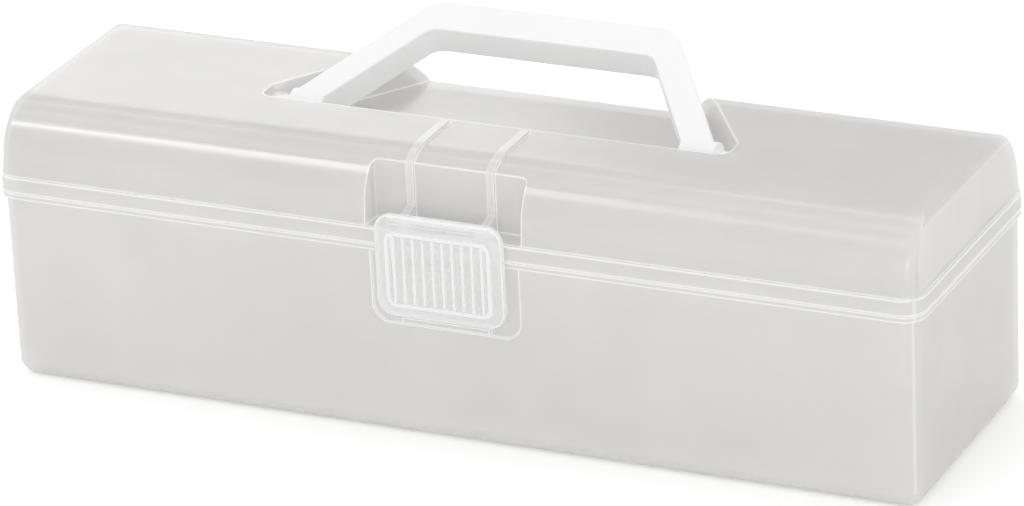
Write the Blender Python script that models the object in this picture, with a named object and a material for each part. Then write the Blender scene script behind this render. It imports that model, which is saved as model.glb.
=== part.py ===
"""Long carrying box moulded in frosted plastic: tub, hinged lid, folding handle and front latch.

+X runs along the box, -Y is the front with the latch, +Z is up. The origin is the middle of the
underside. Every size is written in millimetres and turned into metres by MM.
"""

import math

import bmesh
import bpy
from mathutils import Vector

MM = 0.001

# Driving dimensions of the whole box
LENGTH = 330.0
DEPTH = 100.6
HEIGHT = 97.7
PARTING = 68.0
WALL = 1.8
GAP = 0.3

# Rim: two flanges, one on each half, that meet at the parting line
RIM_PROUD = 1.3
RIM_BOTTOM = 66.0
RIM_TOP = 73.6
RIM_CORNER = 7.3

# Tub
TUB_CORNER = 6.0
TUB_BASE_RADIUS = 6.0
TUB_DRAFT = 0.003

# Lid
LID_EDGE_RADIUS = 18.0
LID_END_RADIUS = 3.0
LID_CORNER = 3.5
LID_TAPER_X = 1.7
LID_TAPER_Y = 0.6
LIP_BOTTOM = 61.0
LIP_CLEARANCE = 0.8
LIP_THICKNESS = 1.4
LIP_CORNER = 3.9
LIP_ROOT = 1.4
SMALLEST_CORNER = 0.8

# Handle and the recess that it folds into; the handle leans back from upright
PIVOT_Y = 0.6
PIVOT_Z = 91.2
HANDLE_LEAN = 66.9
HANDLE_FOOT_HALF = 77.0
HANDLE_TOP_HALF = 44.1
HANDLE_REACH = 50.9
HANDLE_BAND = 13.6
HANDLE_LEG = 10.6
HANDLE_THICK = 11.0
HANDLE_OUTER_RADIUS = 12.0
HANDLE_INNER_RADIUS = 6.0
HANDLE_EDGE = 1.2
FOOT_INSET = 0.02
STUB_RADIUS = 2.8
STUB_END = 86.0
STUB_BURIED = 9.0
RECESS_FLOOR = 85.2
RECESS_FRONT = -10.2
RECESS_HALF = 84.0
RECESS_SLOPE = 0.659
RECESS_SIDE_DRAFT = 2.0
RECESS_FRONT_DRAFT = 0.5
RECESS_SLANT_DRAFT = 4.3
RECESS_SLANT_GROWTH = 1.2
RECESS_CORNER = 4.0
RECESS_BEND_CORNER = 2.0

# Latch, its notch in the lid and its panel on the tub
NOTCH_HALF = 27.8
NOTCH_BACK = -40.8
NOTCH_CORNER = 2.5
RIB_SPACING = 28.8
RIB_WIDTH = 2.6
RIB_PROUD = 0.9
RIB_END_GAP = 1.5
RIB_END_SLOPE = 1.5
EAR_FRONT = -48.3
EAR_TOP = 78.3
EAR_SLOPE = 1.5
EAR_NOSE = 1.0
LATCH_PIN_Y = -45.8
LATCH_PIN_Z = 75.9
LATCH_PIN_RADIUS = 0.9
LATCH_HALF = 22.9
LATCH_BOTTOM = 44.6
LATCH_TOP = 80.5
LATCH_BACK = -50.8
LATCH_THICK = 2.4
LATCH_CORNER = 6.0
LATCH_EDGE = 0.7
LATCH_BARREL_RADIUS = 1.9
LATCH_ROLL_RADIUS = 1.85
LATCH_ROLL_HALF = 17.5
LATCH_ROLL_DROP = 0.05
LATCH_ROLL_STEPS = 12
LATCH_WEB_HALF = (1.2, 1.6)
NOSE_REACH = 1.0
NOSE_HEIGHTS = (53.6, 55.0, 56.2, 57.0)
GRIP_MIDDLE_Z = 61.6
GRIP_COUNT = 10
GRIP_PITCH = 3.5
GRIP_RIB_HALF = (0.45, 11.6)
GRIP_RIB_PROUD = 0.7
GRIP_FRAME_HALF = (18.9, 13.2)
GRIP_FRAME_BAND = 1.3
GRIP_FRAME_CORNER = 3.4
GRIP_FRAME_PROUD = 0.8
GRIP_BURY = 0.4
PANEL_HALF = 26.5
PANEL_BOTTOM = 40.2
PANEL_DEPTH = 0.7
PANEL_CORNER = 6.0
CATCH_HALF = 11.0
CATCH_PROUD = 1.4
CATCH_STEP = 0.9
CATCH_HEIGHTS = (57.6, 58.2, 58.9, 60.0, 61.6)
BAR_HALF = 15.6
BAR_PROUD = 0.9
BAR_HEIGHTS = (40.6, 41.0, 42.9, 43.4)

# Back hinges
HINGE_Y = 52.8
HINGE_SPREAD = 100.0
KNUCKLE_COUNT = 5
KNUCKLE_WIDTH = 8.0
KNUCKLE_GAP = 0.4
KNUCKLE_RADIUS = 2.2
WEB_HEIGHT = 9.5
WEB_BURY = 1.0
WEB_TOUCH = 40.0
WEB_CLEAR = 0.03
WEB_INSIDE = 0.1
HINGE_PIN_RADIUS = 0.8
HINGE_HOLE_RADIUS = 1.1
HEEL_REACH = 2.8
HEEL_HALF = 0.8
HEEL_ANGLE = -22.9

PIN_HEAD_RATIO = 1.7
PIN_HEAD_LENGTH = 0.9
PIN_TAIL = 0.8

# How deep a joined helper body reaches into its part, and how far a cutter reaches past it
BURY = 0.5
CUT_PAST = 2.0

CORNER_STEPS = 6
DOME_STEPS = 10
ROUND_STEPS = 20
PIN_STEPS = 16

# Outer half sizes of the tub's and the lid's walls where they meet the rim
WALL_X = LENGTH / 2 - RIM_PROUD
WALL_Y = DEPTH / 2 - RIM_PROUD
LIP_X = WALL_X - WALL - LIP_CLEARANCE
LIP_Y = WALL_Y - WALL - LIP_CLEARANCE


def clear_scene():
    for item in list(bpy.data.objects):
        bpy.data.objects.remove(item)


def plastic(name, colour, roughness):
    material = bpy.data.materials.new(name)
    material.use_nodes = True
    shader = material.node_tree.nodes["Principled BSDF"]
    shader.inputs["Base Color"].default_value = (*colour, 1.0)
    shader.inputs["Roughness"].default_value = roughness
    shader.inputs["Metallic"].default_value = 0.0
    return material


def arc(centre, radius, start, end, steps):
    """Points on a circle round centre, from one angle to another, in degrees."""
    points = []
    for step in range(steps + 1):
        angle = math.radians(start + (end - start) * step / steps)
        points.append((centre[0] + radius * math.cos(angle), centre[1] + radius * math.sin(angle)))
    return points


def rounded_rectangle(half_a, half_b, radius, steps=CORNER_STEPS):
    """Outline of a rectangle with round corners, anticlockwise."""
    points = []
    for sign_a, sign_b, start in ((1, 1, 0), (-1, 1, 90), (-1, -1, 180), (1, -1, 270)):
        centre = (sign_a * (half_a - radius), sign_b * (half_b - radius))
        points += arc(centre, radius, start, start + 90, steps)
    return points


def rounded_polygon(corners, steps=CORNER_STEPS):
    """Outline through (a, b, radius) corners, each turned into an arc of its radius."""
    points = []
    for index, (a, b, radius) in enumerate(corners):
        here = Vector((a, b))
        before = (Vector(corners[index - 1][:2]) - here).normalized()
        after = (Vector(corners[(index + 1) % len(corners)][:2]) - here).normalized()
        if radius == 0:
            points.append((a, b))
            continue
        half_angle = before.angle(after) / 2
        centre = here + (before + after).normalized() * radius / math.sin(half_angle)
        first = here + before * radius / math.tan(half_angle) - centre
        last = here + after * radius / math.tan(half_angle) - centre
        for step in range(steps + 1):
            points.append(tuple(centre + first.slerp(last, step / steps) * radius))
    return points


def at_height(outline, z):
    return [Vector((x, y, z)) * MM for x, y in outline]


def along_x(outline, x):
    return [Vector((x, y, z)) * MM for y, z in outline]


def along_y(outline, y):
    return [Vector((x, y, z)) * MM for x, z in outline]


def loft(name, rings):
    """Closed body through rings of equally many points, with a flat cap on the first and the last."""
    mesh = bmesh.new()
    loops = [[mesh.verts.new(point) for point in ring] for ring in rings]
    count = len(rings[0])
    for lower, upper in zip(loops, loops[1:]):
        for index in range(count):
            following = (index + 1) % count
            mesh.faces.new((lower[index], lower[following], upper[following], upper[index]))
    mesh.faces.new(reversed(loops[0]))
    mesh.faces.new(loops[-1])
    bmesh.ops.recalc_face_normals(mesh, faces=mesh.faces)
    data = bpy.data.meshes.new(name)
    mesh.to_mesh(data)
    mesh.free()
    item = bpy.data.objects.new(name, data)
    bpy.context.scene.collection.objects.link(item)
    return item


def prism_x(name, outline, start, end):
    return loft(name, [along_x(outline, start), along_x(outline, end)])


def prism_y(name, outline, start, end):
    return loft(name, [along_y(outline, start), along_y(outline, end)])


def rod_x(name, y, z, radius, start, end, steps=ROUND_STEPS):
    circle = arc((y, z), radius, 0, 360, steps)[:-1]
    return prism_x(name, circle, start, end)


def combine(item, tool, operation):
    """Joins a helper body to item, or cuts it out of item, and hides the helper."""
    modifier = item.modifiers.new(tool.name, "BOOLEAN")
    modifier.operation = operation
    modifier.solver = "EXACT"
    modifier.object = tool
    tool.hide_render = True
    tool.display_type = "WIRE"


def soften(item, width):
    """Rounds the sharp edges of item by width."""
    bevel = item.modifiers.new("soft_edges", "BEVEL")
    bevel.width = width * MM
    bevel.segments = 2
    bevel.limit_method = "ANGLE"
    bevel.angle_limit = math.radians(50)


def finish(item, material, sharp_degrees=30.0):
    item.data.materials.append(material)
    item.data.shade_smooth()
    item.data.set_sharp_from_angle(angle=math.radians(sharp_degrees))


def tub_rings():
    """Rings of the tub's wall: up the inside from the floor, over the rim and down the outside."""
    rings = []
    inner_radius = TUB_BASE_RADIUS - WALL
    for step in range(CORNER_STEPS + 1):
        angle = math.radians(90.0 * step / CORNER_STEPS)
        inset = WALL + inner_radius * (1 - math.sin(angle)) + TUB_DRAFT * RIM_BOTTOM
        height = WALL + inner_radius * (1 - math.cos(angle))
        corner = TUB_CORNER - WALL
        rings.append(at_height(rounded_rectangle(WALL_X - inset, WALL_Y - inset, corner), height))
    rim_height = PARTING - GAP / 2
    rings.append(at_height(rounded_rectangle(WALL_X - WALL, WALL_Y - WALL, TUB_CORNER - WALL), rim_height))
    for height in (rim_height, RIM_BOTTOM):
        rings.append(at_height(rounded_rectangle(LENGTH / 2, DEPTH / 2, RIM_CORNER), height))
    rings.append(at_height(rounded_rectangle(WALL_X, WALL_Y, TUB_CORNER), RIM_BOTTOM))
    for step in range(CORNER_STEPS + 1):
        angle = math.radians(90.0 * (1 - step / CORNER_STEPS))
        inset = TUB_BASE_RADIUS * (1 - math.sin(angle)) + TUB_DRAFT * RIM_BOTTOM
        height = TUB_BASE_RADIUS * (1 - math.cos(angle))
        corner = max(TUB_CORNER - TUB_BASE_RADIUS * (1 - math.sin(angle)), SMALLEST_CORNER)
        rings.append(at_height(rounded_rectangle(WALL_X - inset, WALL_Y - inset, corner), height))
    return rings


def lid_dome(inset):
    """Rings of the lid's outer form, moved inwards by inset, from the rim up to the flat top."""
    rings = []
    top = HEIGHT - inset
    edge_radius = LID_EDGE_RADIUS - inset
    edge_z = HEIGHT - LID_EDGE_RADIUS
    end_radius = LID_END_RADIUS - inset
    edge_y = WALL_Y - LID_TAPER_Y - LID_EDGE_RADIUS
    for step in range(DOME_STEPS + 1):
        angle = math.radians(90.0 * step / DOME_STEPS)
        height = edge_z + edge_radius * math.sin(angle)
        half_y = edge_y + edge_radius * math.cos(angle)
        rise = max(height - (top - end_radius), 0.0)
        end_inset = end_radius - math.sqrt(max(end_radius ** 2 - rise ** 2, 0.0))
        taper = LID_TAPER_X * (height - RIM_TOP) / (HEIGHT - RIM_TOP)
        corner = max(LID_CORNER - inset, SMALLEST_CORNER) * (1 - 0.5 * step / DOME_STEPS)
        outline = rounded_rectangle(WALL_X - taper - inset - end_inset, half_y, corner)
        rings.append(at_height(outline, height))
    return rings


def lid_foot(inset, height):
    corner = max(LID_CORNER - inset, SMALLEST_CORNER)
    outline = rounded_rectangle(WALL_X - inset, WALL_Y - inset, corner)
    return at_height(outline, height)


def lid_rings():
    """Rings of the lid's wall: down the inside, round the lip, over the rim and up the outside."""
    rings = list(reversed(lid_dome(WALL)))
    rings.append(lid_foot(WALL, RIM_TOP))
    lip_corner = LIP_CORNER - LIP_THICKNESS
    lip_inner = rounded_rectangle(LIP_X - LIP_THICKNESS, LIP_Y - LIP_THICKNESS, lip_corner)
    lip_outer = rounded_rectangle(LIP_X, LIP_Y, LIP_CORNER)
    rings.append(at_height(lip_inner, PARTING + LIP_ROOT))
    rings.append(at_height(lip_inner, LIP_BOTTOM))
    rings.append(at_height(lip_outer, LIP_BOTTOM))
    rim_height = PARTING + GAP / 2
    rings.append(at_height(lip_outer, rim_height))
    for height in (rim_height, RIM_TOP):
        rings.append(at_height(rounded_rectangle(LENGTH / 2, DEPTH / 2, RIM_CORNER), height))
    rings.append(lid_foot(0.0, RIM_TOP))
    rings += lid_dome(0.0)
    return rings


def recess_outline(depth, grow):
    """Plan of the handle's recess at a depth below the lid's top, grown outwards by grow."""
    share = depth / (HEIGHT - RECESS_FLOOR)
    half = RECESS_HALF - RECESS_SIDE_DRAFT * share + grow
    front = RECESS_FRONT + RECESS_FRONT_DRAFT * share - grow
    line_half = RECESS_HALF - RECESS_SLANT_DRAFT * share + RECESS_SLANT_GROWTH * grow
    back = DEPTH
    slope_back = line_half - RECESS_SLOPE * back
    bend = (line_half - half) / RECESS_SLOPE
    corners = [(half, front, RECESS_CORNER), (half, bend, RECESS_BEND_CORNER), (slope_back, back, 0)]
    mirrored = [(-x, y, radius) for x, y, radius in reversed(corners)]
    return rounded_polygon(corners + mirrored)


def recess_body(name, grow, top):
    """The recess as a body that tapers to its floor, with slanting sides and an open back."""
    floor_ring = at_height(recess_outline(HEIGHT - RECESS_FLOOR, grow), RECESS_FLOOR - grow)
    top_ring = at_height(recess_outline(HEIGHT - top, grow), top)
    return loft(name, [floor_ring, top_ring])


def notch_body(name, grow, bottom, top):
    """The latch's notch as an upright body with round inner corners, open to the front."""
    half = NOTCH_HALF + grow
    back = NOTCH_BACK + grow
    right = [(half, -DEPTH, 0), (half, back, NOTCH_CORNER)]
    left = [(-x, y, radius) for x, y, radius in reversed(right)]
    outline = rounded_polygon(right + left)
    return loft(name, [at_height(outline, bottom), at_height(outline, top)])


def rib_outline():
    """Side view of a rib that runs over the lid's front edge and down the notch, with the latch's ear."""
    mid = WALL / 2
    centre = (-(WALL_Y - LID_TAPER_Y - LID_EDGE_RADIUS), HEIGHT - LID_EDGE_RADIUS)
    front = NOTCH_BACK - RIB_PROUD
    back = NOTCH_BACK + mid
    outer = LID_EDGE_RADIUS + RIB_PROUD
    inner = LID_EDGE_RADIUS - mid
    outer_end = 90 + math.degrees(math.asin((centre[0] - front) / outer))
    inner_end = 90 + math.degrees(math.asin((centre[0] - back) / inner))
    rib_end = RECESS_FRONT - RIB_END_GAP
    top_end = [(rib_end, HEIGHT - mid), (rib_end - RIB_END_SLOPE, HEIGHT + RIB_PROUD)]
    over_edge = arc(centre, outer, 90, outer_end, CORNER_STEPS)
    ear_foot = RIM_TOP - BURY
    ear = [(front, EAR_TOP + EAR_SLOPE), (LATCH_PIN_Y - EAR_NOSE, EAR_TOP), (EAR_FRONT, LATCH_PIN_Z)]
    foot = [(EAR_FRONT, ear_foot), (back, ear_foot)]
    return top_end + over_edge + ear + foot + arc(centre, inner, inner_end, 90, CORNER_STEPS)


def knuckle_edges(hinge_x):
    """Start and end along X of each knuckle of one hinge, from left to right."""
    pitch = KNUCKLE_WIDTH + KNUCKLE_GAP
    first = hinge_x - pitch * (KNUCKLE_COUNT - 1) / 2
    return [(first + pitch * k - KNUCKLE_WIDTH / 2, first + pitch * k + KNUCKLE_WIDTH / 2)
            for k in range(KNUCKLE_COUNT)]


def add_knuckle(item, name, edges, side):
    """Adds one knuckle to the tub (side -1) or the lid (side +1), and drills its hole."""
    start, end = edges
    root_y = WALL_Y - WEB_BURY
    root_z = PARTING + side * WEB_HEIGHT
    edge_z = PARTING + side * (GAP / 2 + WEB_CLEAR)
    touch = math.radians(WEB_TOUCH)
    tangent_z = PARTING + side * KNUCKLE_RADIUS * math.sin(touch)
    tangent = (HINGE_Y + KNUCKLE_RADIUS * math.cos(touch), tangent_z)
    inner_y = HINGE_Y - KNUCKLE_RADIUS + WEB_INSIDE
    web = [(root_y, root_z), tangent, (HINGE_Y, PARTING), (inner_y, edge_z), (root_y, edge_z)]
    combine(item, prism_x(name + "_web", web, start, end), "UNION")
    combine(item, rod_x(name + "_barrel", HINGE_Y, PARTING, KNUCKLE_RADIUS, start, end), "UNION")
    if side > 0:
        combine(item, heel_body(name + "_heel", start, end), "UNION")


def heel_body(name, start, end):
    """Stop on a lid knuckle that meets the tub's rim when the lid is fully open."""
    angle = math.radians(HEEL_ANGLE)
    out = Vector((math.cos(angle), math.sin(angle)))
    across = Vector((-out.y, out.x)) * HEEL_HALF
    axis = Vector((HINGE_Y, PARTING))
    near = axis + out * (HINGE_HOLE_RADIUS + GAP)
    far = axis + out * HEEL_REACH
    outline = [tuple(near - across), tuple(far - across), tuple(far + across), tuple(near + across)]
    return prism_x(name, outline, start, end)


def add_hinges(item, owner, side):
    """Gives item every second knuckle of both hinges: the tub the outer ones, the lid the inner ones."""
    for label, hinge_x in (("left", -HINGE_SPREAD), ("right", HINGE_SPREAD)):
        edges = knuckle_edges(hinge_x)
        chosen = edges[0::2] if side < 0 else edges[1::2]
        for index, pair in enumerate(chosen):
            add_knuckle(item, f"{owner}_{label}_knuckle_{index}", pair, side)
        start, end = edges[0][0] - CUT_PAST, edges[-1][1] + CUT_PAST
        bore = rod_x(f"{owner}_{label}_bore", HINGE_Y, PARTING, HINGE_HOLE_RADIUS, start, end)
        combine(item, bore, "DIFFERENCE")


def panel_outline():
    """Front view of the shallow panel behind the latch, with rounder corners at its foot."""
    half_height = (RIM_BOTTOM - BURY - PANEL_BOTTOM) / 2
    right = [(PANEL_HALF, -half_height, PANEL_CORNER), (PANEL_HALF, half_height, SMALLEST_CORNER)]
    left = [(-x, z, radius) for x, z, radius in reversed(right)]
    return [(x, z + PANEL_BOTTOM + half_height) for x, z in rounded_polygon(right + left)]


def make_tub(material):
    tub = loft("tub", tub_rings())
    face = -(WALL_Y - TUB_DRAFT * (RIM_BOTTOM - PANEL_BOTTOM)) + PANEL_DEPTH
    combine(tub, prism_y("panel_cut", panel_outline(), -DEPTH, face), "DIFFERENCE")
    root = face + BURY
    crest = face - CATCH_PROUD
    catch = list(zip((root, face - CATCH_STEP, crest, crest, root), CATCH_HEIGHTS))
    combine(tub, prism_x("catch", catch, -CATCH_HALF, CATCH_HALF), "UNION")
    edge = -WALL_Y - BAR_PROUD
    bar = list(zip((root, edge, edge, root), BAR_HEIGHTS))
    combine(tub, prism_x("finger_bar", bar, -BAR_HALF, BAR_HALF), "UNION")
    add_hinges(tub, "tub", -1)
    finish(tub, material)


def add_skin(lid, core, skin):
    """Joins the part of skin that lies inside the lid's outer form."""
    combine(skin, core, "INTERSECT")
    combine(lid, skin, "UNION")


def make_lid(material):
    lid = loft("lid", lid_rings())
    core = loft("lid_core", [lid_foot(WALL / 2, PARTING + LIP_ROOT)] + lid_dome(WALL / 2))
    above = HEIGHT + CUT_PAST
    add_skin(lid, core, recess_body("recess_skin", WALL, above))
    add_skin(lid, core, notch_body("notch_skin", WALL, RIM_TOP - WALL, above))
    combine(lid, recess_body("recess_cut", 0.0, above), "DIFFERENCE")
    combine(lid, notch_body("notch_cut", 0.0, RIM_TOP + GAP / 2, above), "DIFFERENCE")
    for label, side in (("left", -1), ("right", 1)):
        middle = side * RIB_SPACING / 2
        rib = prism_x(f"rib_{label}", rib_outline(), middle - RIB_WIDTH / 2, middle + RIB_WIDTH / 2)
        combine(lid, rib, "UNION")
        start, end = sorted((side * (HANDLE_FOOT_HALF - CUT_PAST), side * (STUB_END + CUT_PAST)))
        stub_hole = rod_x(f"stub_hole_{label}", PIVOT_Y, PIVOT_Z, STUB_RADIUS + GAP, start, end)
        combine(lid, stub_hole, "DIFFERENCE")
    reach = RIB_SPACING / 2 + RIB_WIDTH / 2 + CUT_PAST
    pin_hole = rod_x("latch_pin_hole", LATCH_PIN_Y, LATCH_PIN_Z, LATCH_PIN_RADIUS + GAP, -reach, reach)
    combine(lid, pin_hole, "DIFFERENCE")
    add_hinges(lid, "lid", 1)
    finish(lid, material)


def handle_outline():
    """Outline of the handle in its own plane: across the box, and up the legs from the pivot."""
    lean = math.atan((HANDLE_FOOT_HALF - HANDLE_TOP_HALF) / HANDLE_REACH)
    across = HANDLE_LEG / math.cos(lean)
    inner_foot = HANDLE_FOOT_HALF - across
    inner_reach = HANDLE_REACH - HANDLE_BAND
    inner_top = inner_foot - inner_reach * math.tan(lean)
    right = [(inner_foot, 0.0, 0), (HANDLE_FOOT_HALF, 0.0, 0),
             (HANDLE_TOP_HALF, HANDLE_REACH, HANDLE_OUTER_RADIUS)]
    left = [(-x, up, radius) for x, up, radius in reversed(right)]
    inside = [(-inner_top, inner_reach, HANDLE_INNER_RADIUS), (inner_top, inner_reach, HANDLE_INNER_RADIUS)]
    return rounded_polygon(right + left + inside), inner_foot


def make_handle(material):
    """The handle is built flat, pivot on its own X axis, and then leaned back on its pivot."""
    outline, inner_foot = handle_outline()
    half = HANDLE_THICK / 2
    pivot = bpy.data.objects.new("handle_pivot", None)
    bpy.context.scene.collection.objects.link(pivot)
    pivot.location = Vector((0.0, PIVOT_Y, PIVOT_Z)) * MM
    pivot.rotation_euler = (-math.radians(HANDLE_LEAN), 0.0, 0.0)
    handle = prism_y("carry_handle", outline, -half, half)
    soften(handle, HANDLE_EDGE)
    helpers = []
    for label, side in (("left", -1), ("right", 1)):
        start, end = sorted((side * inner_foot, side * (HANDLE_FOOT_HALF - GAP)))
        helpers.append(rod_x(f"foot_{label}", 0.0, 0.0, half - FOOT_INSET, start, end))
        start, end = sorted((side * (HANDLE_FOOT_HALF - STUB_BURIED), side * STUB_END))
        helpers.append(rod_x(f"stub_{label}", 0.0, 0.0, STUB_RADIUS, start, end))
    for helper in helpers:
        combine(handle, helper, "UNION")
        helper.parent = pivot
    handle.parent = pivot
    finish(handle, material)


def grip_shape(half_sizes, corner, middle_x=0.0, steps=CORNER_STEPS):
    outline = rounded_rectangle(*half_sizes, corner, steps)
    return [(middle_x + x, GRIP_MIDDLE_Z + z) for x, z in outline]


def latch_grip_bodies():
    """Raised frame round the grip area and the upright grip ribs inside it."""
    front = LATCH_BACK - LATCH_THICK
    frame = grip_shape(GRIP_FRAME_HALF, GRIP_FRAME_CORNER)
    hollow_half = [half - GRIP_FRAME_BAND for half in GRIP_FRAME_HALF]
    hollow = grip_shape(hollow_half, GRIP_FRAME_CORNER - GRIP_FRAME_BAND)
    ring = prism_y("grip_frame", frame, front + GRIP_BURY, front - GRIP_FRAME_PROUD)
    hole = prism_y("grip_frame_hollow", hollow, front + CUT_PAST, front - CUT_PAST)
    combine(ring, hole, "DIFFERENCE")
    bodies = [ring]
    for index in range(GRIP_COUNT):
        x = (index - (GRIP_COUNT - 1) / 2) * GRIP_PITCH
        shape = grip_shape(GRIP_RIB_HALF, GRIP_RIB_HALF[0] / 2, x, 1)
        bodies.append(prism_y(f"grip_rib_{index}", shape, front + GRIP_BURY, front - GRIP_RIB_PROUD))
    return bodies


def latch_web(thin, thick):
    """Side view of the web from the latch's barrel to its plate."""
    root = LATCH_BACK - 2 * BURY
    return [(LATCH_PIN_Y, LATCH_PIN_Z - thin), (LATCH_PIN_Y, LATCH_PIN_Z + thin),
            (root, LATCH_PIN_Z + thick), (root, LATCH_PIN_Z - thick)]


def make_latch(material):
    """The latch is one plate that hangs on its pin, with a nose behind it for the tub's catch."""
    half_height = (LATCH_TOP - LATCH_BOTTOM) / 2
    middle = LATCH_BOTTOM + half_height
    outline = [(x, z + middle) for x, z in rounded_rectangle(LATCH_HALF, half_height, LATCH_CORNER)]
    latch = prism_y("latch", outline, LATCH_BACK, LATCH_BACK - LATCH_THICK)
    soften(latch, LATCH_EDGE)
    axis = (LATCH_PIN_Y, LATCH_PIN_Z)
    inner = RIB_SPACING / 2 - RIB_WIDTH / 2 - KNUCKLE_GAP
    combine(latch, rod_x("latch_barrel", *axis, LATCH_BARREL_RADIUS, -inner, inner), "UNION")
    combine(latch, prism_x("latch_web", latch_web(*LATCH_WEB_HALF), -inner, inner), "UNION")
    bore_radius = LATCH_PIN_RADIUS + GAP / 2
    bore = rod_x("latch_barrel_bore", *axis, bore_radius, -inner - CUT_PAST, inner + CUT_PAST)
    combine(latch, bore, "DIFFERENCE")
    roll_axis = (LATCH_BACK - LATCH_THICK / 2, LATCH_TOP - LATCH_ROLL_RADIUS - LATCH_ROLL_DROP)
    roll_ends = (-LATCH_ROLL_HALF, LATCH_ROLL_HALF)
    roll = rod_x("latch_roll", *roll_axis, LATCH_ROLL_RADIUS, *roll_ends, LATCH_ROLL_STEPS)
    combine(latch, roll, "UNION")
    root = LATCH_BACK - BURY
    tip = LATCH_BACK + NOSE_REACH
    nose = list(zip((root, tip, tip, root), NOSE_HEIGHTS))
    combine(latch, prism_x("latch_nose", nose, -CATCH_HALF, CATCH_HALF), "UNION")
    for body in latch_grip_bodies():
        combine(latch, body, "UNION")
    finish(latch, material)


def make_pin(name, axis, radius, span, material):
    """A plain pin through the holes between the two ends of span, with a small head on its right."""
    end = span[1] + GAP
    pin = rod_x(name, *axis, radius, span[0] - PIN_TAIL, end, PIN_STEPS)
    head = rod_x(name + "_head", *axis, radius * PIN_HEAD_RATIO, end, end + PIN_HEAD_LENGTH, PIN_STEPS)
    combine(pin, head, "UNION")
    finish(pin, material)


def make_box():
    clear_scene()
    frosted = (0.86, 0.86, 0.85)
    make_tub(plastic("tub_plastic", frosted, 0.35))
    make_lid(plastic("lid_plastic", frosted, 0.35))
    make_handle(plastic("handle_plastic", (0.95, 0.95, 0.95), 0.4))
    make_latch(plastic("latch_plastic", (0.92, 0.93, 0.93), 0.2))
    pin_plastic = plastic("pin_plastic", (0.9, 0.9, 0.9), 0.4)
    rib_outside = RIB_SPACING / 2 + RIB_WIDTH / 2
    latch_axis = (LATCH_PIN_Y, LATCH_PIN_Z)
    make_pin("latch_pin", latch_axis, LATCH_PIN_RADIUS, (-rib_outside, rib_outside), pin_plastic)
    for label, hinge_x in (("left", -HINGE_SPREAD), ("right", HINGE_SPREAD)):
        edges = knuckle_edges(hinge_x)
        span = (edges[0][0], edges[-1][1])
        make_pin(f"hinge_pin_{label}", (HINGE_Y, PARTING), HINGE_PIN_RADIUS, span, pin_plastic)


make_box()
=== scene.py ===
"""Looks of the art supply box: frosted plastic shell, white handle and clear latch, in a plain studio."""

import math

import bmesh
import bpy
from mathutils import Matrix, Vector


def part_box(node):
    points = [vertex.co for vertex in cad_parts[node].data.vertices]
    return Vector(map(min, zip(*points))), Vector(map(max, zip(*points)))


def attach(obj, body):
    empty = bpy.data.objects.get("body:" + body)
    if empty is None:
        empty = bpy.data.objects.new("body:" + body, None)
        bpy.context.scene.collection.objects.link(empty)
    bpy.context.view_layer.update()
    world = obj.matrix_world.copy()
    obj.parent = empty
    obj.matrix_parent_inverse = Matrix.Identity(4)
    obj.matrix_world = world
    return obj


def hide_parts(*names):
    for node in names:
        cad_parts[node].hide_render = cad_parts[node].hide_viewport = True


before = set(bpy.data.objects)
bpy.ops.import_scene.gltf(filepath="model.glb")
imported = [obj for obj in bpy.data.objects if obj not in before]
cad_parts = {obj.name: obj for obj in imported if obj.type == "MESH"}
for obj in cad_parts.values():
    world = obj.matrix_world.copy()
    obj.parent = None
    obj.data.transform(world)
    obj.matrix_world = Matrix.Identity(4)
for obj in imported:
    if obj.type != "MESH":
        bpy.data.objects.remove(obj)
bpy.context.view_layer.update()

MM = 0.001

# Camera: where it looks from, in degrees round from the front and down, and its roll and lens
VIEW_TARGET = Vector((1.41, 0.0, 47.8)) * MM
VIEW_AZIMUTH = 25.33
VIEW_ELEVATION = 23.22
VIEW_ROLL = -2.64
VIEW_DISTANCE = 2040.4 * MM
VIEW_LENS = 215.95
SENSOR_WIDTH = 36.0

# Lamps are aimed at this point, near the middle of the box
LAMP_TARGET = Vector((0.0, 0.0, 50.0)) * MM

# Moulded pieces: points closer than WELD are one point, triangles turned less than FLAT_ENOUGH are one
# face, and faces that meet at less than SHARP_EDGE are shaded as one surface
WELD = 0.002 * MM
FLAT_ENOUGH = math.radians(0.6)
SHARP_EDGE = math.radians(34.0)

# Heights between which the whole of the lid's rim flange and of its inner lip lie
LID_RIM = (68.0 * MM, 74.0 * MM)
LID_LIP = (60.5 * MM, 69.5 * MM)

# Tight corners get painted light, a glow that no lamp gives, which lifts their shade. CREVICE_OPENNESS is
# the share of directions that have nothing within CREVICE_REACH, where that painted light is none and
# where it is all of CREVICE_PAINTED_LIGHT
CREVICE_REACH = 14.0 * MM
CREVICE_OPENNESS = (1.0, 0.3)
CREVICE_PAINTED_LIGHT = 0.20

# A narrow face counts as a rib if this share of its outline is sharp
MOSTLY = 0.4

# Part of the noise's own range that is spread over the range wanted of it
NOISE_RANGE = (0.3, 0.7)

# Plastic surfaces, in features per metre: slow clouds of colour, clouds of clearness and of gloss, and a
# fine grain GRAIN_HEIGHT high
COLOUR_CLOUDS = 28.0
CLEAR_CLOUDS = 22.0
GLOSS_CLOUDS = 90.0
GRAIN = 1600.0
GRAIN_HEIGHT = 0.2 * MM
GRAIN_STRENGTH = 0.05
CLEAR_SPREAD = 0.03
GLOSS_SPREAD = (-0.04, 0.05)

# The smooth skin over the plastic, which carries the highlights
SKIN_ROUGHNESS = 0.2
SKIN_IOR = 2.3

# Edges get a painted highlight where the normals around a point turn away from the point's own: not at
# all at the first of these cosines between the two, and fully at the second
EDGE_TURN = (0.996, 0.95)

# A painted highlight line runs down the middle of each upright rounded corner: where the product of the
# normal's X and Y comes near 0.5, it gets this share of an edge's painted highlight
CORNER_PRODUCT = (0.488, 0.4985)
CORNER_HIGHLIGHT = 0.25

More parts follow.
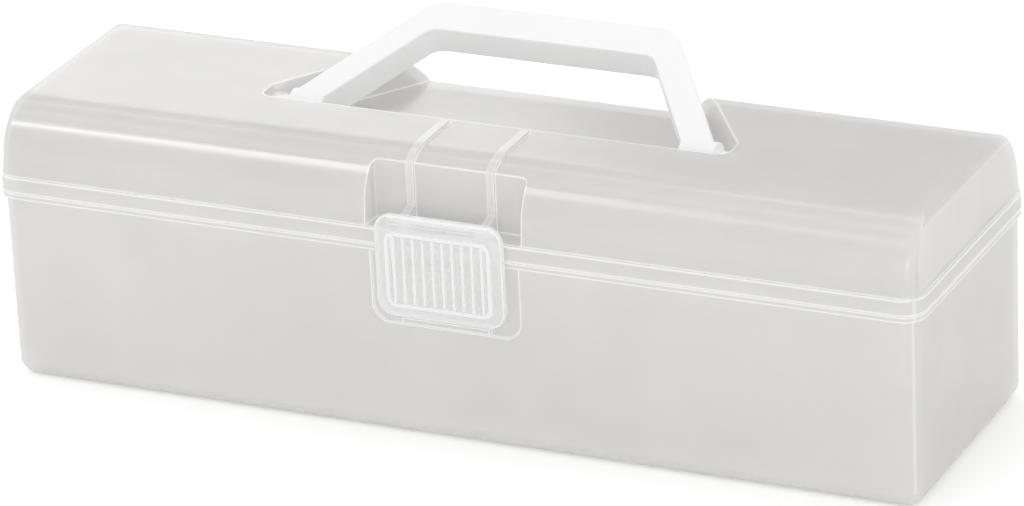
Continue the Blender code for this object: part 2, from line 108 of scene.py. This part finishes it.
# Studio: brightness of the surroundings, and the pale floor
SKY_STRENGTH = 0.97
FLOOR_COLOUR = (0.98, 0.98, 0.98, 1.0)
FLOOR_ROUGHNESS = 0.9
FLOOR_REACH = 6.0


def link(item):
    bpy.context.scene.collection.objects.link(item)
    return item


def add_camera():
    azimuth, elevation, roll = (math.radians(a) for a in (VIEW_AZIMUTH, VIEW_ELEVATION, VIEW_ROLL))
    back = Vector((math.sin(azimuth) * math.cos(elevation),
                   -math.cos(azimuth) * math.cos(elevation),
                   math.sin(elevation)))
    level = Vector((math.cos(azimuth), math.sin(azimuth), 0.0))
    upward = back.cross(level)
    right = level * math.cos(roll) + upward * math.sin(roll)
    up = upward * math.cos(roll) - level * math.sin(roll)
    data = bpy.data.cameras.new("view")
    data.lens = VIEW_LENS
    data.sensor_width = SENSOR_WIDTH
    data.clip_start = 0.1
    camera = link(bpy.data.objects.new("view", data))
    turn = Matrix((right, up, back)).transposed().to_4x4()
    camera.matrix_world = Matrix.Translation(VIEW_TARGET + back * VIEW_DISTANCE) @ turn
    bpy.context.scene.camera = camera


def add_light(name, azimuth, elevation, distance, size, power, shift=0.0):
    """A rectangular lamp aimed at the box, azimuth degrees round from the front and elevation up.

    shift moves the lamp sideways in its own plane.
    """
    around, up = math.radians(azimuth), math.radians(elevation)
    away = Vector((math.sin(around) * math.cos(up), -math.cos(around) * math.cos(up), math.sin(up)))
    data = bpy.data.lights.new(name, "AREA")
    data.shape = "RECTANGLE"
    data.size, data.size_y = size
    data.energy = power
    light = link(bpy.data.objects.new(name, data))
    place = Matrix.Translation(LAMP_TARGET + away * distance)
    turn = away.to_track_quat("Z", "Y").to_matrix().to_4x4()
    light.matrix_world = place @ turn @ Matrix.Translation((shift, 0.0, 0.0))


def new_material(name):
    material = bpy.data.materials.new(name)
    material.use_nodes = True
    material.node_tree.nodes.clear()
    return material


def add_node(material, kind, **settings):
    node = material.node_tree.nodes.new(kind)
    for key, value in settings.items():
        setattr(node, key, value)
    return node


def join(material, output, socket):
    material.node_tree.links.new(output, socket)


def map_range(material, value, given, wanted=(0.0, 1.0)):
    """Value scaled from the given pair of numbers to the wanted pair, and held between them."""
    spread = add_node(material, "ShaderNodeMapRange")
    names = ("From Min", "From Max", "To Min", "To Max")
    for name, number in zip(names, (*given, *wanted)):
        spread.inputs[name].default_value = number
    join(material, value, spread.inputs["Value"])
    return spread.outputs["Result"]


def noise(material, scale, detail, low=0.0, high=1.0):
    """Smooth cloudy value between low and high, at scale per metre, from the piece's own coordinates."""
    place = add_node(material, "ShaderNodeTexCoord")
    clouds = add_node(material, "ShaderNodeTexNoise")
    clouds.inputs["Scale"].default_value = scale
    clouds.inputs["Detail"].default_value = detail
    join(material, place.outputs["Object"], clouds.inputs["Vector"])
    return map_range(material, clouds.outputs["Fac"], NOISE_RANGE, (low, high))


def painted_edge_highlight_mask(material, reach):
    """1 at the piece's sharp edges and 0 away from them, from the normals averaged over reach; it lays on
    the painted edge highlight.
    """
    average = add_node(material, "ShaderNodeBevel", samples=4)
    average.inputs["Radius"].default_value = reach
    own = add_node(material, "ShaderNodeNewGeometry")
    agreement = add_node(material, "ShaderNodeVectorMath", operation="DOT_PRODUCT")
    join(material, average.outputs["Normal"], agreement.inputs[0])
    join(material, own.outputs["Normal"], agreement.inputs[1])
    return map_range(material, agreement.outputs["Value"], EDGE_TURN)


def math_node(material, operation, first, second):
    node = add_node(material, "ShaderNodeMath", operation=operation)
    for socket, value in zip(node.inputs, (first, second)):
        if isinstance(value, float):
            socket.default_value = value
        else:
            join(material, value, socket)
    return node.outputs["Value"]


def painted_corner_highlight(material):
    """A painted highlight line: CORNER_HIGHLIGHT along the middle of each upright rounded corner, and 0
    away from it.
    """
    own = add_node(material, "ShaderNodeNewGeometry")
    parts = add_node(material, "ShaderNodeSeparateXYZ")
    join(material, own.outputs["Normal"], parts.inputs["Vector"])
    product = math_node(material, "MULTIPLY", parts.outputs["X"], parts.outputs["Y"])
    middle = map_range(material, math_node(material, "ABSOLUTE", product, 0.0), CORNER_PRODUCT)
    return math_node(material, "MULTIPLY", middle, CORNER_HIGHLIGHT)


def painted_crevice_light(material, painted_glow):
    """Painted light that no lamp gives: piped in the open, and up to CREVICE_PAINTED_LIGHT more in tight
    corners, lifting their shade.
    """
    openness = add_node(material, "ShaderNodeAmbientOcclusion", samples=1)
    openness.inputs["Distance"].default_value = CREVICE_REACH
    return map_range(material, openness.outputs["AO"], CREVICE_OPENNESS, (painted_glow, painted_glow + CREVICE_PAINTED_LIGHT))


def mix_shaders(material, share, first, second):
    mix = add_node(material, "ShaderNodeMixShader")
    if isinstance(share, float):
        mix.inputs["Fac"].default_value = share
    else:
        join(material, share, mix.inputs["Fac"])
    join(material, first, mix.inputs[1])
    join(material, second, mix.inputs[2])
    return mix.outputs["Shader"]


def plastic(material, colour, tint, roughness, clear=0.0, glow=0.0, shine=0.0, painted_glow=0.0):
    """Moulded plastic: a body colour with faint clouding, a satin grain, and light passing through.

    clear is the share of light that goes straight through, glow the share that is scattered through,
    shine the strength of the smooth skin over the body, and piped the strength of painted light, a glow
    that no lamp gives.
    """
    shader = add_node(material, "ShaderNodeBsdfPrincipled")
    blend = add_node(material, "ShaderNodeMix", data_type="RGBA")
    blend.inputs["A"].default_value = (*colour, 1.0)
    blend.inputs["B"].default_value = (*tint, 1.0)
    join(material, noise(material, COLOUR_CLOUDS, 3.0), blend.inputs["Factor"])
    join(material, blend.outputs["Result"], shader.inputs["Base Color"])
    gloss = noise(material, GLOSS_CLOUDS, 4.0, roughness + GLOSS_SPREAD[0], roughness + GLOSS_SPREAD[1])
    join(material, gloss, shader.inputs["Roughness"])
    bump = add_node(material, "ShaderNodeBump")
    bump.inputs["Strength"].default_value = GRAIN_STRENGTH
    bump.inputs["Distance"].default_value = GRAIN_HEIGHT
    join(material, noise(material, GRAIN, 3.0), bump.inputs["Height"])
    join(material, bump.outputs["Normal"], shader.inputs["Normal"])
    shader.inputs["Coat Weight"].default_value = shine
    shader.inputs["Coat Roughness"].default_value = SKIN_ROUGHNESS
    shader.inputs["Coat IOR"].default_value = SKIN_IOR
    shader.inputs["Emission Color"].default_value = (1.0, 1.0, 1.0, 1.0)
    # The emission is painted light: a glow all over, and more in tight corners where shade falls
    join(material, painted_crevice_light(material, painted_glow), shader.inputs["Emission Strength"])
    result = shader.outputs["BSDF"]
    if glow:
        through = add_node(material, "ShaderNodeBsdfTranslucent")
        join(material, blend.outputs["Result"], through.inputs["Color"])
        result = mix_shaders(material, glow, result, through.outputs["BSDF"])
    if clear:
        open_air = add_node(material, "ShaderNodeBsdfTransparent")
        share = noise(material, CLEAR_CLOUDS, 2.0, clear - CLEAR_SPREAD, clear + CLEAR_SPREAD)
        result = mix_shaders(material, share, result, open_air.outputs["BSDF"])
    return result


def moulded_material(name, body, edge=None, reach=0.0, corners=False):
    """Plastic of body's settings, with edge's, a painted highlight, within reach of its sharp edges."""
    material = new_material(name)
    result = plastic(material, **body)
    if edge:
        share = painted_edge_highlight_mask(material, reach)
        if corners:
            share = math_node(material, "MAXIMUM", share, painted_corner_highlight(material))
        result = mix_shaders(material, share, result, plastic(material, **edge))
    output = add_node(material, "ShaderNodeOutputMaterial")
    join(material, result, output.inputs["Surface"])
    return material


def is_thin(face, rib_width, fillet_width, front):
    """Whether a face is an upright rib's, one strip of a tight curve, or further forward than front."""
    across = [corner.co.x for corner in face.verts]
    outline = sum(edge.calc_length() for edge in face.edges)
    sharp = sum(edge.calc_length() for edge in face.edges if edge.calc_face_angle(0.0) > SHARP_EDGE)
    return (max(across) - min(across) < rib_width and sharp > MOSTLY * outline
            or 2 * face.calc_area() < fillet_width * outline
            or max(corner.co.y for corner in face.verts) < front)


def shade_smooth(mesh):
    """Each face's corners get the mean direction of the faces there that turn less than SHARP_EDGE."""
    meeting = [[] for vertex in mesh.vertices]
    for face in mesh.polygons:
        for vertex in face.vertices:
            meeting[vertex].append(face)
    normals = []
    for face in mesh.polygons:
        for vertex in face.vertices:
            total = Vector()
            for other in meeting[vertex]:
                if other.normal.dot(face.normal) > math.cos(SHARP_EDGE):
                    total += other.normal * other.area
            normals.append(total.normalized())
    mesh.normals_split_custom_set(normals)


def moulding(node, body, materials, bands=(), rib_width=0.0, fillet_width=0.0, proud=0.0):
    """The CAD node's own shape, shaded as smooth moulded surfaces.

    materials are those of its walls, of its thin faces and of its faces within each band of heights.
    A face is thin if it is a rib's narrower than rib_width, a strip narrower than fillet_width, or within
    proud of the piece's front.
    """
    shape = bmesh.new()
    shape.from_mesh(bpy.data.objects[node].data)
    bmesh.ops.remove_doubles(shape, verts=shape.verts, dist=WELD)
    bmesh.ops.dissolve_limit(shape, angle_limit=FLAT_ENOUGH, verts=shape.verts, edges=shape.edges)
    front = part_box(node)[0].y + proud
    for face in shape.faces:
        face.smooth = True
        heights = [corner.co.z for corner in face.verts]
        face.material_index = int(is_thin(face, rib_width, fillet_width, front))
        for index, (low, high) in enumerate(bands, 2):
            if low < min(heights) and max(heights) < high:
                face.material_index = index
    mesh = bpy.data.meshes.new(f"{node}_moulding")
    for material in materials:
        mesh.materials.append(material)
    shape.to_mesh(mesh)
    shape.free()
    shade_smooth(mesh)
    piece = link(bpy.data.objects.new(f"{node}_moulding", mesh))
    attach(piece, body)
    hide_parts(node)


def add_studio():
    world = bpy.data.worlds.new("studio")
    bpy.context.scene.world = world
    world.use_nodes = True
    world.node_tree.nodes["Background"].inputs["Color"].default_value = (1.0, 1.0, 1.0, 1.0)
    world.node_tree.nodes["Background"].inputs["Strength"].default_value = SKY_STRENGTH
    mesh = bpy.data.meshes.new("studio_floor")
    corners = [(x * FLOOR_REACH, y * FLOOR_REACH, 0.0) for x, y in ((-1, -1), (1, -1), (1, 1), (-1, 1))]
    mesh.from_pydata(corners, [], [(0, 1, 2, 3)])
    floor = link(bpy.data.objects.new("studio_floor", mesh))
    paper = new_material("studio_paper")
    shader = add_node(paper, "ShaderNodeBsdfPrincipled")
    shader.inputs["Base Color"].default_value = FLOOR_COLOUR
    shader.inputs["Roughness"].default_value = FLOOR_ROUGHNESS
    output = add_node(paper, "ShaderNodeOutputMaterial")
    join(paper, shader.outputs["BSDF"], output.inputs["Surface"])
    mesh.materials.append(paper)
    add_light("front_strip", 0.0, 53.0, 1.6, (2.4, 0.13), 1.7)
    add_light("front_strip_left", 0.0, 53.0, 1.6, (0.7, 0.13), 3.2, shift=-1.0)
    add_light("high_strip", 180.0, 70.0, 1.6, (2.4, 0.1), 2.4)
    add_light("top_strip", 0.0, 82.0, 1.6, (2.4, 0.3), 1.7)
    add_light("left_panel", 213.5, 24.0, 1.09, (0.35, 0.5), 0.8)
    add_light("front_fill", 15.0, 8.0, 2.0, (2.0, 1.0), 11.5)
    add_light("right_fill", 80.0, 8.0, 2.0, (1.0, 1.0), 4.5)


bpy.context.scene.view_settings.view_transform = "Standard"
add_camera()
add_studio()

# Settings of each plastic. piped is painted light, a glow that no lamp gives; the edges, ribs and lip
# are lighter mostly through more of it, as painted highlights and a painted glow, and are also less clear
frosted_body = dict(colour=(0.72, 0.713, 0.70), tint=(0.69, 0.685, 0.675), roughness=0.40, clear=0.28,
                    glow=0.5, shine=1.0, painted_glow=0.05)
# The lid gets less painted glow than the tub, a painted shade that keeps it darker
frosted_lid_painted_shade = dict(frosted_body, painted_glow=0.01)
# The lid's rim flange gets more painted glow than the rest of the lid, and its material a wider painted
# edge highlight: a painted light band
frosted_flange_painted_light = dict(frosted_body, painted_glow=0.04)
frosted_rib = dict(frosted_body, roughness=0.36, clear=0.18, glow=0.45, painted_glow=0.08)
# The lid's inner lip gets a strong painted glow, lightening the band under the parting line
frosted_lip = dict(frosted_rib, clear=0.15, painted_glow=0.18)
# The edges' settings: a strong painted glow, the painted highlight along every sharp edge
painted_edge_highlight = dict(colour=(0.71, 0.71, 0.705), tint=(0.68, 0.68, 0.68), roughness=0.32, clear=0.1,
                    glow=0.2, shine=0.6, painted_glow=0.24)
# The latch's painted glow lightens it all over
clear_body = dict(colour=(0.74, 0.742, 0.745), tint=(0.72, 0.725, 0.73), roughness=0.15, clear=0.62,
                  glow=0.5, shine=0.6, painted_glow=0.20)
clear_rib = dict(colour=(0.64, 0.64, 0.64), tint=(0.62, 0.62, 0.62), roughness=0.2, glow=0.3,
                 shine=0.6, painted_glow=0.17)
# The handle's painted glow lightens its shaded underside
white_body = dict(colour=(0.58, 0.58, 0.58), tint=(0.57, 0.57, 0.57), roughness=0.38, painted_glow=0.16)
pin_body = dict(colour=(0.80, 0.80, 0.80), tint=(0.77, 0.77, 0.77), roughness=0.4, glow=0.3)

# The materials, with how far in from a sharp edge the painted edge highlight reaches
frosted = moulded_material("frosted_plastic", frosted_body, painted_edge_highlight, 0.9 * MM, corners=True)
frosted_top = moulded_material("frosted_lid_painted_shade", frosted_lid_painted_shade, painted_edge_highlight, 1.0 * MM, corners=True)
frosted_ribs = moulded_material("frosted_ribs", frosted_rib, painted_edge_highlight, 0.3 * MM)
frosted_rim_painted_light = moulded_material("frosted_rim_painted_light", frosted_flange_painted_light, painted_edge_highlight, 1.3 * MM, corners=True)
frosted_lips = moulded_material("frosted_lip", frosted_lip)
clear = moulded_material("clear_plastic", clear_body, clear_rib, 0.5 * MM)
clear_ribs = moulded_material("clear_ribs", clear_rib)
white = moulded_material("white_plastic", white_body)
pin = moulded_material("pin_plastic", pin_body)

moulding("tub", "tub", (frosted, frosted_ribs))
moulding("lid", "lid", (frosted_top, frosted_ribs, frosted_rim_painted_light, frosted_lips),
         bands=[LID_RIM, LID_LIP], rib_width=3.0 * MM)
moulding("latch", "latch", (clear, clear_ribs), rib_width=1.5 * MM,
         fillet_width=0.7 * MM, proud=0.3 * MM)
moulding("carry_handle", "handle", (white, white))
for node in ("latch_pin", "hinge_pin_left", "hinge_pin_right"):
    for slot in bpy.data.objects[node].material_slots:
        slot.material = pin
